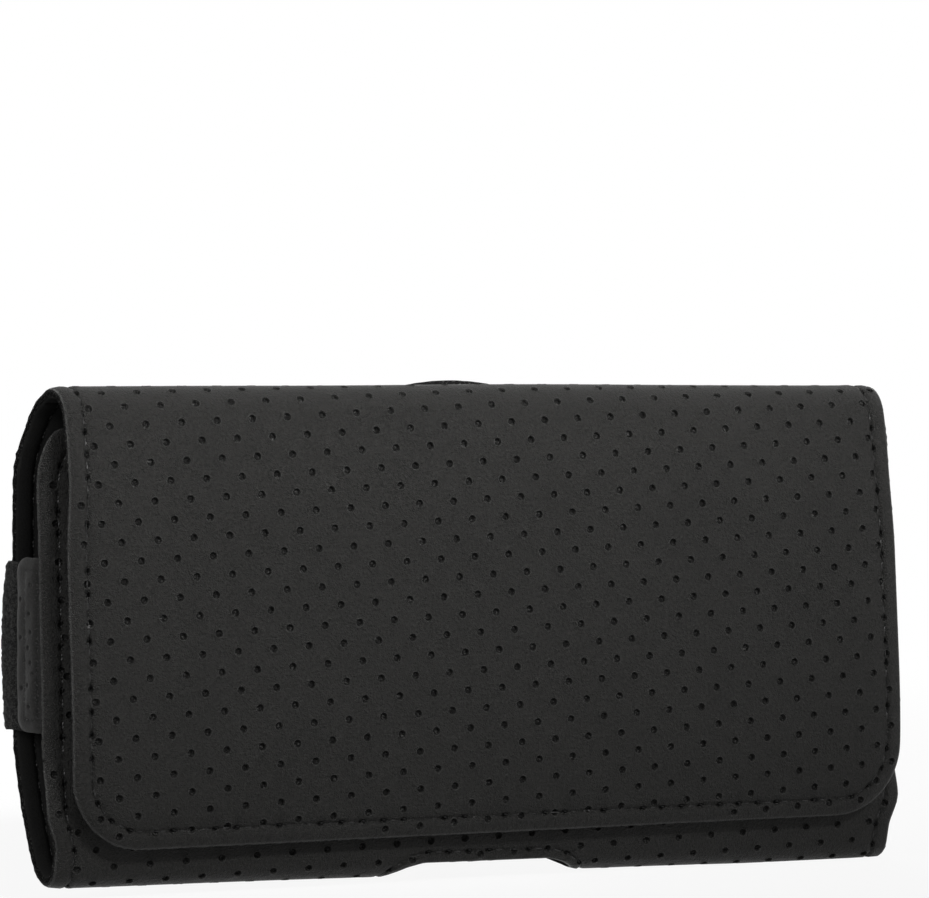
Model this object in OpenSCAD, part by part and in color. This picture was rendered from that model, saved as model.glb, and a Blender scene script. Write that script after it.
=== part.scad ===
// Horizontal belt pouch for a phone: perforated leather shell, magnetic flap, belt clip and belt loops.
// X runs along the pouch, the flap faces -Y, and +Z is up as the pouch is worn.
// The origin is the middle of the belt channel behind the clip spring.

/* [Leather, board and lining] */
// Thickness of the outer leather
leather_t = 1.1; // [0.8:0.1:1.5]
// Thickness of the stiffening boards
board_t = 0.9; // [0.7:0.1:1.2]
// Thickness of the lining over a board
lining_t = 0.5; // [0.4:0.1:0.9]

/* [Pouch] */
// Length of the pouch walls
pouch_w = 179; // [160:1:200]
// Height from the bottom fold to the top
pouch_h = 92; // [84:1:105]
// Clear depth inside the pocket
pocket_d = 14.8; // [12:0.2:20]
// Distance of the pocket wall's edge below the top
mouth_drop = 7.5; // [7:0.5:16]
// Radius of the pocket wall's upper corners
pocket_corner_r = 5; // [2:1:8]
// Outer radius of the bottom fold
fold_r = 5; // [4.5:0.5:6.5]
// How far each end draws in at the bottom fold
fold_waist = 1.8; // [0:0.2:3]
// Height over which the ends draw in above the fold
fold_waist_h = 20; // [12:1:26]

/* [Flap] */
// Length of the flap along the pouch
flap_w = 174; // [156:1:178]
// Height of the flap's lower edge above the bottom fold
flap_up = 8; // [5:0.5:16]
// Radius of the flap's lower corners
flap_corner_r = 14; // [6:1:20]
// Gap between the closed flap and the pocket wall
flap_gap = 1.2; // [0.8:0.1:2]
// Radius of the top's front corner
top_r = 7; // [5:0.5:8]
// Radius of the top's back corner
nape_r = 6; // [5:0.5:7]
// Gap where the strip is divided at a crease
crease_gap = 0.2; // [0.1:0.05:0.3]

/* [Perforation] */
// Distance between neighbouring holes
hole_pitch = 5; // [4.5:0.1:8]
// Diameter of a hole
hole_d = 1.35; // [0.8:0.05:1.6]
// Angle by which the rows climb to the right
hole_tilt = 2.7; // [0:0.1:6]
// Leather kept between a hole and a cut edge
hole_margin = 0.9; // [0.5:0.1:3]

/* [Thumb notch] */
// Length of the notch at the bottom fold
notch_w = 41; // [24:1:60]
// Length of the notch at its top
notch_top_w = 30; // [16:1:40]
// Height of the notch
notch_h = 3.8; // [3.6:0.2:4.4]

/* [Boards and magnets] */
// Distance of a board from the cut edges
board_margin = 7; // [5:0.5:12]
// Clearance round a board in the lining
board_fit = 0.2; // [0.1:0.05:0.4]
// Diameter of the closing magnets
magnet_d = 12; // [8:1:16]
// Distance between the two magnets of a pair
magnet_span = 96; // [60:2:130]
// Distance of the magnets from the flap's lower edge
magnet_up = 24.3; // [22.3:0.5:26.3]
// Clearance between a magnet and its board and covers
magnet_fit = 0.1; // [0.08:0.01:0.15]

/* [Side tabs and elastic] */
// Height of a side tab
tab_h = 32; // [24:1:40]
// Reach of a side tab from the pocket wall towards the back
tab_d = 13.3; // [10:0.1:14.2]
// Thickness of a side tab
tab_t = 1.4; // [1:0.1:2]
// Corner radius of a side tab
tab_r = 3; // [1:0.5:5]
// Height of the middle of the tabs above the bottom fold
tab_z = 44.6; // [40:0.2:50]
// Length of the raised pad on a tab
pad_h = 28; // [18:1:30]
// Width of the raised pad
pad_w = 6; // [4:0.5:8]
// Rise of the raised pad
pad_rise = 0.9; // [0.4:0.1:1.2]
// Height of an elastic band
elastic_h = 30; // [20:1:34]
// Thickness of an elastic band
elastic_t = 1.3; // [0.8:0.1:1.6]
// Length of elastic along the back of the pouch
elastic_back = 18; // [14:1:30]
// How far the elastic stands off the back
elastic_bulge = 1.9; // [1:0.1:2.5]

/* [Belt clip] */
// Width of the leather patch that carries the clip
patch_w = 42; // [36:1:60]
// Thickness of the patch
patch_t = 1.4; // [1:0.1:2]
// Height of the patch's lower edge above the bottom fold
patch_z = 30; // [26:1:32]
// Rise of the patch above the top of the pouch
patch_rise = 0.8; // [0.4:0.1:3]
// Radius of the patch's arched top
patch_arch_r = 50; // [35:1:80]
// Corner radius of the patch
patch_r = 6; // [2:1:10]
// Width of the clip spring
spring_w = 26; // [18:1:30]
// Thickness of the clip spring
spring_t = 1; // [0.8:0.1:1.4]
// Length of the spring's inner leg
spring_leg = 52; // [46:1:54]
// Length of the spring's outer leg
spring_arm = 54; // [40:1:60]
// Angle by which the outer leg leans in
spring_grip = 1.5; // [0:0.5:2]
// Distance of the spring's bend below the top of the pouch
spring_drop = 2; // [0:0.5:6]
// Thickness of the leather round the outer leg
cover_t = 1.2; // [0.8:0.1:1.5]
// Width of the leather round the outer leg
cover_w = 36; // [32:1:50]
// Leather beyond the end of the spring
cover_end = 5; // [3:0.5:8]
// Clearance between the spring and its cover
cover_fit = 0.1; // [0.05:0.05:0.2]
// Belt thickness that the clip takes
belt_t = 7; // [6:0.5:9]
// Width of the belt that the clip takes
belt_w = 40; // [30:1:44]
// Diameter of a rivet's shank
rivet_d = 4; // [3:0.5:5]
// Diameter of a rivet's flat head
rivet_head_d = 9; // [7:0.5:12]
// Thickness of a rivet's flat head
rivet_head_t = 0.8; // [0.5:0.1:1]
// Distance between the rivets
rivet_span = 18; // [14:1:20]
// Clearance round a rivet's shank
rivet_fit = 0.1; // [0.05:0.05:0.3]
// Diameter of a washer behind the leather
washer_d = 10; // [8:0.5:14]
// Thickness of a washer
washer_t = 0.5; // [0.3:0.1:0.5]

/* [Belt loops] */
// Width of a belt loop
loop_w = 26; // [18:1:34]
// Thickness of a belt loop
loop_t = 1.8; // [1.2:0.1:2.4]
// Height of a belt loop along the back
loop_l = 66; // [60:1:68]
// Clear depth inside a belt loop
loop_gap = 5; // [4.5:0.5:7]
// Clearance between a loop's sewn ends and the leather
loop_fit = 0.15; // [0.1:0.05:0.3]
// Height of the sewn end of a belt loop
loop_foot = 7; // [5:1:9]
// Distance between the middles of the two loops
loop_span = 112; // [84:2:124]

/* [Hidden] */

leather_colour = "#2b2b2a";
lining_colour = "#151515";
elastic_colour = "#1c1c1c";
board_colour = "#8a7a5e";
metal_colour = "#9a9a9c";
clip_colour = "#3a3a3c";

// Steps into which arcs are divided, and overlaps for clean cuts
arc_step = 5;
corner_steps = 6;
$fn = 24;
eps = 0.05;
over = 1;
deg = PI / 180;

// Wall of the pouch: leather, board and lining
wall = leather_t + board_t + lining_t;

// The strip is a chain of pieces, each [length, turn]. Walking along it from the flap's lower edge goes
// up the front, over the top, down the back, round the bottom fold and up the pocket wall.
// A place on it is [y, z, heading], and its outer side is on the left of the walk.
function arc(r, turn) = [r * abs(turn) * deg, turn];
function step(p, s) = let (h = p[2], a = s[1])
    a == 0 ? [p[0] + s[0] * cos(h), p[1] + s[0] * sin(h), h]
    : let (r = s[0] / (a * deg)) [p[0] + r * (sin(h + a) - sin(h)), p[1] - r * (cos(h + a) - cos(h)), h + a];
function walk(p, chain, i = 0) = i == len(chain) ? [p] : concat([p], walk(step(p, chain[i]), chain, i + 1));
function last(list) = list[len(list) - 1];
function travel(heading, chain) = last(walk([0, 0, heading], chain));
function lengths(chain, i = 0, sum = 0) =
    i == len(chain) ? [sum] : concat([sum], lengths(chain, i + 1, sum + chain[i][0]));

// Where a walk has come to after the length s
function place(start, chain, s) = let (knots = walk(start, chain), marks = lengths(chain),
    i = max([for (k = [0 : len(chain) - 1]) if (k == 0 || marks[k] <= s) k]), part = s - marks[i])
    step(knots[i], [part, chain[i][1] * part / chain[i][0]]);

// Lengths at which a chain gets a corner of its outline. Every layer shares them, so layers lie face to face.
function stops(chain) = let (marks = lengths(chain)) concat([0], [for (i = [0 : len(chain) - 1])
    let (n = max(1, ceil(abs(chain[i][1]) / arc_step))) for (k = [1 : n]) marks[i] + chain[i][0] * k / n]);
function beside(p, out) = [p[0] - out * sin(p[2]), p[1] + out * cos(p[2])];

// Point at the length s, on the straight line between its two neighbouring corners
function rim(start, chain, list, s, out) = let (
    i = max([for (k = [0 : len(list) - 2]) if (k == 0 || list[k] <= s) k]),
    part = (s - list[i]) / (list[i + 1] - list[i]), a = beside(place(start, chain, list[i]), out),
    b = beside(place(start, chain, list[i + 1]), out)) a + part * (b - a);
function band(start, chain, s0, s1, out_a, out_b) = let (list = stops(chain),
    inner = concat([s0], [for (s = list) if (s > s0 + eps && s < s1 - eps) s], [s1]), n = len(inner))
    concat([for (s = inner) rim(start, chain, list, s, out_a)],
    [for (i = [n - 1 : -1 : 0]) rim(start, chain, list, inner[i], out_b)]);

// Turns of the strip: how it leans, bends and tapers
hook_a = 13;
ease_a = 3;
lead_a = 12;
roof_a = 22;
shoulder_a = 12;
heel_a = 19;
belly_a = 15;
mouth_a = 10;
hook_l = 18.3;
ease_l = 12;
lead_l = 21;
shoulder_l = 20;
heel_l = 7;
belly_l = 20;
settle_l = 14;
mouth_l = 19;
hook = [hook_l, -hook_a];
ease = [ease_l, -ease_a];
lead = [lead_l, -lead_a];
brow = arc(top_r, -(90 - ease_a - lead_a + roof_a));
nape = arc(nape_r, -(90 - roof_a - shoulder_a));
shoulder = [shoulder_l, -shoulder_a];
heel = [heel_l, -heel_a];
fold = arc(fold_r, -(180 - heel_a - belly_a));
belly = [belly_l, -belly_a];
settle = [settle_l, -ease_a];
mouth = [mouth_l, -mouth_a];

// Straight pieces between them, from the height and depth of the pouch
climb_a = 90 - ease_a;
brow_up = top_r * (1 - cos(climb_a - lead_a));
flap_rise = travel(90 + hook_a, [hook, ease])[1] + travel(climb_a, [lead])[1] + brow_up;
flap_flat = [(pouch_h - flap_up - flap_rise) / sin(climb_a), 0];
shell_d = pocket_d + 3 * wall + flap_gap;
front_run = travel(90, [ease, flap_flat, lead, brow]);
back_run = travel(-roof_a, [nape, shoulder]);
roof = [(shell_d - front_run[0] - back_run[0]) / cos(roof_a), 0];
heel_fall = travel(-90, [heel]);
fold_run = travel(-90 - heel_a, [fold, belly]);
heel_run = [(pocket_d + 2 * wall + heel_fall[0] + fold_run[0]) / sin(heel_a), 0];
top_fall = top_r * (1 - cos(roof_a)) + roof[0] * sin(roof_a) - back_run[1];
fold_fall = -heel_fall[1] + heel_run[0] * cos(heel_a) + fold_r * (1 - cos(90 - heel_a));
back_flat = [pouch_h - top_fall - fold_fall, 0];
pocket_h = pouch_h - mouth_drop;
pocket_rise = fold_r * (1 - cos(90 - belly_a)) + travel(-270 + belly_a, [belly, settle])[1]
    + travel(-270 - ease_a, [mouth])[1];
pocket_flat = [(pocket_h - pocket_rise) / cos(ease_a), 0];
strip = [hook, ease, flap_flat, lead, brow, roof, nape, shoulder, back_flat, heel, heel_run, fold,
    belly, settle, pocket_flat, mouth];
strip_marks = lengths(strip);

// The walk starts where it brings the back wall's outside to y = 0 and the bottom fold to z = 0
strip_start = [-shell_d - travel(90 + hook_a, [hook])[0], flap_up, 90 + hook_a];
strip_end = last(strip_marks);
strip_stops = stops(strip);
function on_strip(s) = place(strip_start, strip, s);
function strip_rim(s) = rim(strip_start, strip, strip_stops, s, 0);
function seat(s) = let (p = strip_rim(s), q = strip_rim(s + over))
    [p[0], p[1], atan2(q[1] - p[1], q[0] - p[0])];
function strip_band(s0, s1, out_a, out_b) = band(strip_start, strip, s0, s1, out_a, out_b);

// Places along the strip
flap_crease = strip_marks[4] + brow[0] / 2;
nape_crease = strip_marks[6] + nape[0] / 2;
back_s = strip_marks[8];
heel_s = strip_marks[9];
back_middle_z = on_strip((back_s + heel_s) / 2)[1];
pocket_s = strip_marks[12];

// The clip's spring walks up its inner leg, over its bend and down its outer leg
bend_r = (belt_t + cover_t) / 2 + spring_t;
lip_r = 6;
lip_a = 40;
lip_l = 4;
spring_chain = [[spring_leg, 0], arc(bend_r, -(180 + spring_grip)), [spring_arm, 0], arc(lip_r, lip_a),
    [lip_l, 0], [cover_end, 0]];
spring_z = pouch_h - spring_drop;
spring_start = [patch_t, spring_z - bend_r - spring_leg, 90];
spring_marks = lengths(spring_chain);
cover_s = spring_marks[1] + bend_r * 90 * deg;

// The middle of the belt channel, which becomes the origin
belt_y = patch_t + spring_t + belt_t / 2;
belt_z = spring_z - bend_r - belt_w / 2;

// Long enough to pass through the whole pouch, or through the back wall and the clip's patch only
far = 4 * shell_d;
rivet_bore = 4 * wall;

module at_belt() translate([0, -belt_y, -belt_z]) children();
module along(width) rotate([90, 0, 90]) linear_extrude(width, center = true) children();
module through(depth) rotate([90, 0, 0]) linear_extrude(depth, center = true) children();
module upright(height) linear_extrude(height, center = true) children();

// Corner arc from angle a0 to a1 about c
function corner(c, r, a0, a1) = [for (k = [0 : corner_steps]) let (a = a0 + (a1 - a0) * k / corner_steps)
    [c[0] + r * cos(a), c[1] + r * sin(a)]];
function flip(points) = [for (i = [len(points) - 1 : -1 : 0]) [-points[i][0], points[i][1]]];
function both(points) = concat(points, flip(points));

// Ends of the pouch seen from the front: straight, and drawn in at the fold and at the top
end_x = pouch_w / 2;
top_waist = (pouch_w - flap_w) / 2;
top_waist_h = 18;
waist_steps = 6;
function bow(reach, t) = 2 * reach * (1 - sqrt(1 - 0.75 * pow(max(0, t), 2)));
function end_at(z) = end_x - bow(fold_waist, 1 - z / fold_waist_h)
    - bow(top_waist, 1 - (pouch_h - z) / top_waist_h);
body_side = concat([for (k = [0 : waist_steps]) fold_waist_h * k / waist_steps],
    [for (k = [0 : waist_steps]) pouch_h - top_waist_h * (1 - k / waist_steps)]);
module body_outline() polygon(both(concat([[end_at(0), -over]], [for (z = body_side) [end_at(z), z]],
    [[end_at(pouch_h), pouch_h + over]])));

flap_side = concat(corner([flap_w / 2 - flap_corner_r, flap_up + flap_corner_r], flap_corner_r, -90, 0),
    [[flap_w / 2, pouch_h + over]]);
module flap_outline() polygon(both(flap_side));

// Notch in the bottom fold, whose flanks bend over a knee into its flat top
notch_knee = [(notch_w + 3 * notch_top_w) / 8, 0.8 * notch_h];
notch_ease = 2;
notch_side = [[notch_w / 2 + notch_h, -notch_h], [notch_w / 2, 0], notch_knee,
    [notch_top_w / 2 - notch_ease, notch_h]];
module notch() through(far) polygon(both(notch_side));

// Upper corners of the pocket wall, cut from the front half of the pouch only
module pocket_corners() let (r = pocket_corner_r, x = end_at(pocket_h - r))
    for (side = [-1, 1]) translate([side * (x - r), -shell_d, pocket_h - r])
    through(shell_d) difference() {
        translate([side * r, r]) square(2 * r, center = true);
        circle(r);
    }

// Holes of the leather, square to it and set on a tilted diagonal grid
hole_x0 = -12.6;
hole_s0 = 44.8;
hole_turn = 45 + hole_tilt;
hole_reach = ceil((pouch_w / 2 + strip_end) / hole_pitch);
hole_keep = hole_d / 2 + hole_margin;
punch_l = 3 * leather_t;
punched_s = pocket_s + 2 * flap_up;
function hole_at(i, j) = [hole_x0 + hole_pitch * (i * cos(hole_turn) - j * sin(hole_turn)),
    hole_s0 + hole_pitch * (i * sin(hole_turn) + j * cos(hole_turn))];
function in_corner(x, s) = let (r = flap_corner_r, dx = abs(x) - flap_w / 2 + r, ds = r - s)
    dx > 0 && ds > 0 && norm([dx, ds]) > r - hole_keep;
function in_notch(x, z) = z < notch_h + hole_keep && abs(x) < notch_w / 2 + hole_keep;
module hole(x, s) let (p = on_strip(s)) translate([x, p[0], p[1]]) rotate([p[2], 0, 0])
    cylinder(d = hole_d, h = punch_l, center = true);
module holes(s0, s1) for (i = [-hole_reach : hole_reach], j = [-hole_reach : hole_reach])
    let (h = hole_at(i, j), s = h[1])
    if (s > s0 + hole_keep && s < s1 - hole_keep) let (z = on_strip(s)[1])
    if (abs(h[0]) < min(end_at(z), s < nape_crease ? flap_w / 2 : end_x) - hole_keep
        && !in_corner(h[0], s) && !(s > heel_s && in_notch(h[0], z))) hole(h[0], s);

// Boards lie between leather and lining, and the magnets lie in holes of the boards. A board starts
// short of a bend or runs a little way into it.
shoulder_bare = 4;
heel_cover = 8;
belly_bare = 3;
lead_cover = 14;
back_board_s = [strip_marks[7] + shoulder_bare, strip_marks[10] + heel_cover];
pocket_board_s = [pocket_s + belly_bare, strip_end - board_margin];
flap_board_s = [board_margin, strip_marks[3] + lead_cover];
module board(s, width, grow = 0) along(width + 2 * grow)
    polygon(strip_band(s[0] - grow, s[1] + grow, -leather_t, -leather_t - board_t));
back_board_w = pouch_w - 2 * board_margin;
flap_board_w = flap_w - 2 * board_margin;
module flap_board_shape(grow = 0) intersection() {
    board(flap_board_s, flap_board_w, grow);
    through(far) let (r = max(1, flap_corner_r - board_margin) + grow, x = flap_board_w / 2 + grow,
        z = flap_up + board_margin - 2 * grow)
        polygon(both(concat(corner([x - r, z + r], r, -90, 0), [[x, pouch_h]])));
}
magnet_z = on_strip(magnet_up)[1];
pocket_magnet_s = strip_marks[13] + (magnet_z - on_strip(strip_marks[13])[1]) / cos(ease_a / 2);
module magnet(side, s, grow = 0) let (p = seat(s))
    translate([side * magnet_span / 2, p[0], p[1]]) rotate([p[2], 0, 0])
    translate([0, 0, -leather_t - board_t / 2])
    cylinder(d = magnet_d + 2 * grow, h = board_t + (grow > 0 ? board_t : -2 * magnet_fit), center = true);
module magnet_seats(s) for (side = [-1, 1]) magnet(side, s, magnet_fit);

// Rivets run along Y through the spring, the patch and the flat of the back
module on_rivets() for (side = [-1, 1])
    translate([0, 0, back_middle_z + side * rivet_span / 2]) rotate([-90, 0, 0]) children();
module rivet_holes() on_rivets() cylinder(r = rivet_d / 2 + rivet_fit, h = rivet_bore, center = true);

// Shell of the pouch: back wall, bottom fold and pocket wall in one strip
module body_layer(out_a, out_b) difference() {
    intersection() {
        along(pouch_w + over) polygon(strip_band(nape_crease + crease_gap / 2, strip_end, out_a, out_b));
        through(far) body_outline();
    }
    pocket_corners();
    notch();
}
module body_leather() color(leather_colour) at_belt() difference() {
    body_layer(0, -leather_t);
    rivet_holes();
    holes(heel_s, punched_s);
}
module body_lining() color(lining_colour) at_belt() difference() {
    body_layer(-leather_t, -wall);
    board(back_board_s, back_board_w, board_fit);
    board(pocket_board_s, back_board_w, board_fit);
}
module back_board() color(board_colour) at_belt() difference() {
    board(back_board_s, back_board_w);
    on_rivets() cylinder(r = washer_d / 2 + rivet_fit, h = rivet_bore, center = true);
}
module pocket_board() color(board_colour) at_belt() difference() {
    board(pocket_board_s, back_board_w);
    magnet_seats(pocket_magnet_s);
}
module pocket_magnet_left() color(metal_colour) at_belt() magnet(-1, pocket_magnet_s);
module pocket_magnet_right() color(metal_colour) at_belt() magnet(1, pocket_magnet_s);

// The spine is the stretch over the top, between the two creases
module spine_layer(out_a, out_b) along(flap_w)
    polygon(strip_band(flap_crease + crease_gap / 2, nape_crease - crease_gap / 2, out_a, out_b));
module spine_leather() color(leather_colour) at_belt() difference() {
    spine_layer(0, -leather_t);
    holes(flap_crease, nape_crease);
}
module spine_lining() color(lining_colour) at_belt() spine_layer(-leather_t, -wall);

// The flap hangs over the front and closes on its magnets
module flap_layer(out_a, out_b) intersection() {
    along(flap_w + over) polygon(strip_band(0, flap_crease - crease_gap / 2, out_a, out_b));
    through(far) flap_outline();
}
module flap_leather() color(leather_colour) at_belt() difference() {
    flap_layer(0, -leather_t);
    holes(0, flap_crease);
}
module flap_lining() color(lining_colour) at_belt() difference() {
    flap_layer(-leather_t, -wall);
    flap_board_shape(board_fit);
}
module flap_board() color(board_colour) at_belt() difference() {
    flap_board_shape();
    magnet_seats(magnet_up);
}
module flap_magnet_left() color(metal_colour) at_belt() magnet(-1, magnet_up);
module flap_magnet_right() color(metal_colour) at_belt() magnet(1, magnet_up);

// A side tab is sewn to the pocket wall's end and carries the elastic that runs on to the back
tab_seam = 0.5;
pad_seam = 5.6;
tab_y = -pocket_d - 2 * wall + tab_seam;
tab_back = tab_y + tab_d;
pad_y = tab_y + pad_seam;
pad_r = (pow(pad_w / 2, 2) + pow(pad_rise, 2)) / (2 * pad_rise);
module sided(side) translate([0, 0, tab_z]) mirror([side < 0 ? 1 : 0, 0, 0]) children();
module side_tab(side) color(leather_colour) at_belt() sided(side) {
    translate([end_x + tab_t / 2, 0, 0]) along(tab_t) polygon(concat([[tab_y, -tab_h / 2]],
        corner([tab_back - tab_r, tab_r - tab_h / 2], tab_r, -90, 0),
        corner([tab_back - tab_r, tab_h / 2 - tab_r], tab_r, 0, 90), [[tab_y, tab_h / 2]]));
    translate([end_x + tab_t, pad_y, 0]) upright(pad_h) intersection() {
        translate([pad_rise - pad_r, 0]) circle(pad_r, $fn = 96);
        translate([pad_rise / 2 - eps, 0]) square([pad_rise + 2 * eps, pad_w + over], center = true);
    }
}
module side_tab_left() side_tab(-1);
module side_tab_right() side_tab(1);

// The elastic's inner face walks from its sewn end on the back, round the pouch's end and under the tab
function jog(r, shift) = let (a = acos(1 - abs(shift) / (2 * r)), b = shift > 0 ? a : -a)
    [arc(r, b), arc(r, -b)];
function run(chain) = travel(0, chain)[0];
elastic_clear = 0.4;
elastic_foot = 7;
elastic_tuck = 6;
elastic_corner_r = 2.7;
elastic_rise_r = 3;
elastic_dip_r = 1.8;
elastic_rise = jog(elastic_rise_r, elastic_bulge);
elastic_dip = jog(elastic_dip_r, -elastic_clear - elastic_t);
elastic_start = [end_x + elastic_clear - elastic_back, 0, 0];
elastic_chain = concat([[elastic_foot, 0]], elastic_rise,
    [[elastic_back - elastic_corner_r - elastic_foot - run(elastic_rise), 0], arc(elastic_corner_r, -90),
    [max(eps, wall + elastic_bulge - elastic_corner_r), 0]], elastic_dip, [[elastic_tuck, 0]]);
module elastic(side) color(elastic_colour) at_belt() sided(side) upright(elastic_h)
    polygon(band(elastic_start, elastic_chain, 0, last(lengths(elastic_chain)), 0, elastic_t));
module elastic_left() elastic(-1);
module elastic_right() elastic(1);

// Plate with rounded lower corners and an arched top, seen from the front
module arched(w, z0, z1, r, arch_r) let (x = w / 2 - r, c = z1 - arch_r,
    zc = c + sqrt(pow(arch_r - r, 2) - pow(x, 2)), a = atan2(zc - c, x))
    polygon(both(concat(corner([x, z0 + r], r, -90, 0), corner([x, zc], r, 0, a),
    corner([0, c], arch_r, a, 90))));
module clip_patch() color(leather_colour) at_belt() difference() {
    translate([0, patch_t / 2, 0]) through(patch_t)
        arched(patch_w, patch_z, pouch_h + patch_rise, patch_r, patch_arch_r);
    rivet_holes();
}
function spring_band(s0, s1, out_a, out_b) = band(spring_start, spring_chain, s0, s1, out_a, out_b);
module clip_spring() color(clip_colour) at_belt() difference() {
    along(spring_w) polygon(spring_band(0, spring_marks[5], 0, -spring_t));
    intersection() {
        rivet_holes();
        translate([0, 0, back_middle_z])
            cube([patch_w, 2 * (patch_t + spring_t + eps), 2 * rivet_span], center = true);
    }
}
cover_low = place(spring_start, spring_chain, last(spring_marks))[1] - cover_t;
cover_side = concat(corner([cover_w / 2 - patch_r, cover_low + patch_r], patch_r, -90, 0),
    [[cover_w / 2, pouch_h + cover_w]]);
module clip_cover() color(leather_colour) at_belt() difference() {
    intersection() {
        along(cover_w) polygon(spring_band(cover_s, last(spring_marks), cover_t, -spring_t - cover_t));
        through(far) polygon(both(cover_side));
    }
    along(spring_w + 2 * cover_fit)
        polygon(spring_band(cover_s - over, spring_marks[5] + cover_fit, cover_fit, -spring_t - cover_fit));
}
rivet_rim = 1;
washer_back = -leather_t - washer_t;
module clip_rivets() color(metal_colour) at_belt() on_rivets() {
    translate([0, 0, patch_t + spring_t]) cylinder(d = rivet_head_d, h = rivet_head_t);
    translate([0, 0, washer_back]) cylinder(d = rivet_d, h = patch_t + spring_t + eps - washer_back);
    translate([0, 0, -leather_t - board_t]) cylinder(d = rivet_d + 2 * rivet_rim, h = board_t - washer_t);
}
module rivet_washers() color(metal_colour) at_belt() on_rivets() translate([0, 0, washer_back]) difference() {
    cylinder(d = washer_d, h = washer_t);
    translate([0, 0, -over]) cylinder(r = rivet_d / 2 + rivet_fit, h = washer_t + 2 * over);
}

// A belt loop follows the back wall at its sewn ends and stands off between them
loop_ramp = 4;
loop_up = 16;
loop_s = back_s - loop_up;
loop_steps = 6;
function lift(t) = let (u = min(1, max(0, (min(t, loop_l - t) - loop_foot) / loop_ramp)))
    loop_gap * (1 - cos(180 * u)) / 2;
loop_stops = concat([0], [for (k = [0 : loop_steps]) loop_foot + loop_ramp * k / loop_steps],
    [for (k = [loop_steps : -1 : 0]) loop_l - loop_foot - loop_ramp * k / loop_steps], [loop_l]);
function loop_at(t, out) = beside(on_strip(loop_s + t), loop_fit + lift(t) + out);
module belt_loop(side) color(leather_colour) at_belt() translate([side * loop_span / 2, 0, 0]) along(loop_w)
    polygon(concat([for (t = loop_stops) loop_at(t, 0)],
    [for (i = [len(loop_stops) - 1 : -1 : 0]) loop_at(loop_stops[i], loop_t)]));
module belt_loop_left() belt_loop(-1);
module belt_loop_right() belt_loop(1);

body_leather();
body_lining();
back_board();
pocket_board();
pocket_magnet_left();
pocket_magnet_right();
side_tab_left();
side_tab_right();
elastic_left();
elastic_right();
clip_patch();
clip_spring();
clip_cover();
clip_rivets();
rivet_washers();
belt_loop_left();
belt_loop_right();
spine_leather();
spine_lining();
flap_leather();
flap_lining();
flap_board();
flap_magnet_left();
flap_magnet_right();
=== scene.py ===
import math

import bpy
import numpy as np
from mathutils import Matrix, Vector
from mathutils.geometry import delaunay_2d_cdt
from mathutils.kdtree import KDTree


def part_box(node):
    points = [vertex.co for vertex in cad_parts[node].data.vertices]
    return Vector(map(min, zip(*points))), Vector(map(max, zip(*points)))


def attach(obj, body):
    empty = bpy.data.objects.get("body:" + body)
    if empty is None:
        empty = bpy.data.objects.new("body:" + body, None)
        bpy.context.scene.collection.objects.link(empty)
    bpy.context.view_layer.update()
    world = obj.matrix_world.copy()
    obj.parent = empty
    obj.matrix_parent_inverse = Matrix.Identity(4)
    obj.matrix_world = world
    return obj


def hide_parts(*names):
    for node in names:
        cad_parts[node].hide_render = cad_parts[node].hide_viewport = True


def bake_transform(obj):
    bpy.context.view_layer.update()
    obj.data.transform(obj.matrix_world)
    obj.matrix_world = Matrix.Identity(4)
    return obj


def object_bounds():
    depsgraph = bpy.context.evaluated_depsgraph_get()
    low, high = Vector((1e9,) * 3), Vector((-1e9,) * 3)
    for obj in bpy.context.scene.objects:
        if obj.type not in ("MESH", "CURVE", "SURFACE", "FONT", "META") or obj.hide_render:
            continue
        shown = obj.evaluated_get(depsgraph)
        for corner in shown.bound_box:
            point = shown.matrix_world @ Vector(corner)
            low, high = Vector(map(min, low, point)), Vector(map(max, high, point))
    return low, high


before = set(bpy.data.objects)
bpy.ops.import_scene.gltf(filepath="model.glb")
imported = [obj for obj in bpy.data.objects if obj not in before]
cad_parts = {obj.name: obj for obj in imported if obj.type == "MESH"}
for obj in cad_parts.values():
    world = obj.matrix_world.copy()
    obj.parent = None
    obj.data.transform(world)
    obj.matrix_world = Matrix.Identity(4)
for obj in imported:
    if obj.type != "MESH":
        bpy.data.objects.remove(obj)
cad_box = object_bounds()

# The camera stands a metre off to the left, almost level with the top of the pouch. Its long lens keeps
# the long edges nearly parallel, as in the photograph.
mm = 0.001
camera_spot = (-382.5, -785.25, 28.55)
camera_turn = 26.32
camera_dip = 0.9
camera_lens = 175.37
sensor_width = 36



def add_object(name, data):
    made = bpy.data.objects.new(name, data)
    bpy.context.scene.collection.objects.link(made)
    return made


camera = add_object("camera", bpy.data.cameras.new("camera"))
camera.data.lens = camera_lens
camera.data.sensor_width = sensor_width
camera.data.clip_start = 0.1
camera.location = [v * mm for v in camera_spot]
camera.rotation_euler = (math.radians(90 - camera_dip), 0, math.radians(-camera_turn))
bpy.context.scene.camera = camera


# The outer leather is one long strip of punched synthetic leather. From the flap's lower edge it runs up
# the front, over the top, down the back, round the bottom fold and up the pocket wall. Here it is made as
# two lengths that meet unseen on top, each with one crease, and the pocket wall as a third.
leather_t = 1.1
wall_t = 2.5
top_r = 7
nape_r = 6
fold_r = 5
flap_w = 174
pouch_w = 179
pouch_h = 92


def arc(radius, turn):
    return radius * abs(math.radians(turn)), turn


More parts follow.
